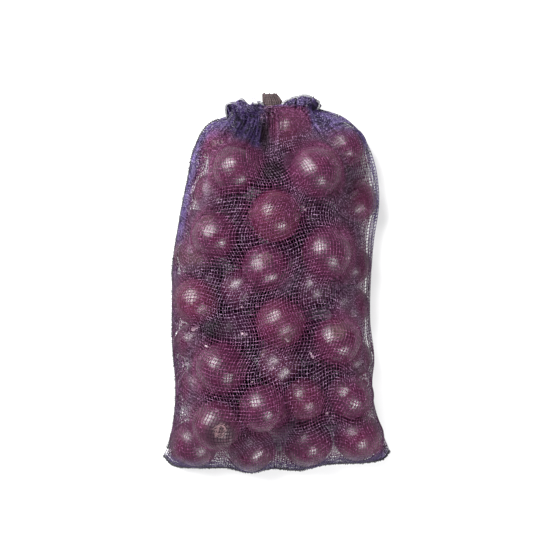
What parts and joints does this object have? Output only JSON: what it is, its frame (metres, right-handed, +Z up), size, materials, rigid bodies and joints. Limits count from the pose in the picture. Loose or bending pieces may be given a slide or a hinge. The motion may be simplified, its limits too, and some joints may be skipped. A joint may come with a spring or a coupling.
{
  "type": "net bag of red onions",
  "caption": "Flat woven net bag lying on its back, filled with red onions that bulge through the net, sewn along the foot and one side and gathered into a ruffled mouth.",
  "frame": {"origin": "on the surface that the bag lies on, under the middle of its outline", "axes": "+Y from the foot seam to the gathered mouth, +Z up out of the shown face, +X to the right of someone who looks down on it with the mouth away from them"},
  "size_m": [0.291, 0.4793, 0.1235],
  "materials": {
    "net_and_onions": "violet woven plastic net over glossy wine red onion skin",
    "onion_skin": "thin glossy wine red skin with darker veins from root to neck",
    "net_thread": "slightly shiny violet plastic tape",
    "seam_thread": "matt blackish violet overlock thread",
    "dry_onion_skin": "dull papery brown-grey"
  },
  "bodies": {
    "root": {"filled_net": "net_and_onions", "foot_seam": "seam_thread", "side_seam": "seam_thread", "dry_neck": "dry_onion_skin"}
  },
  "joints": []
}
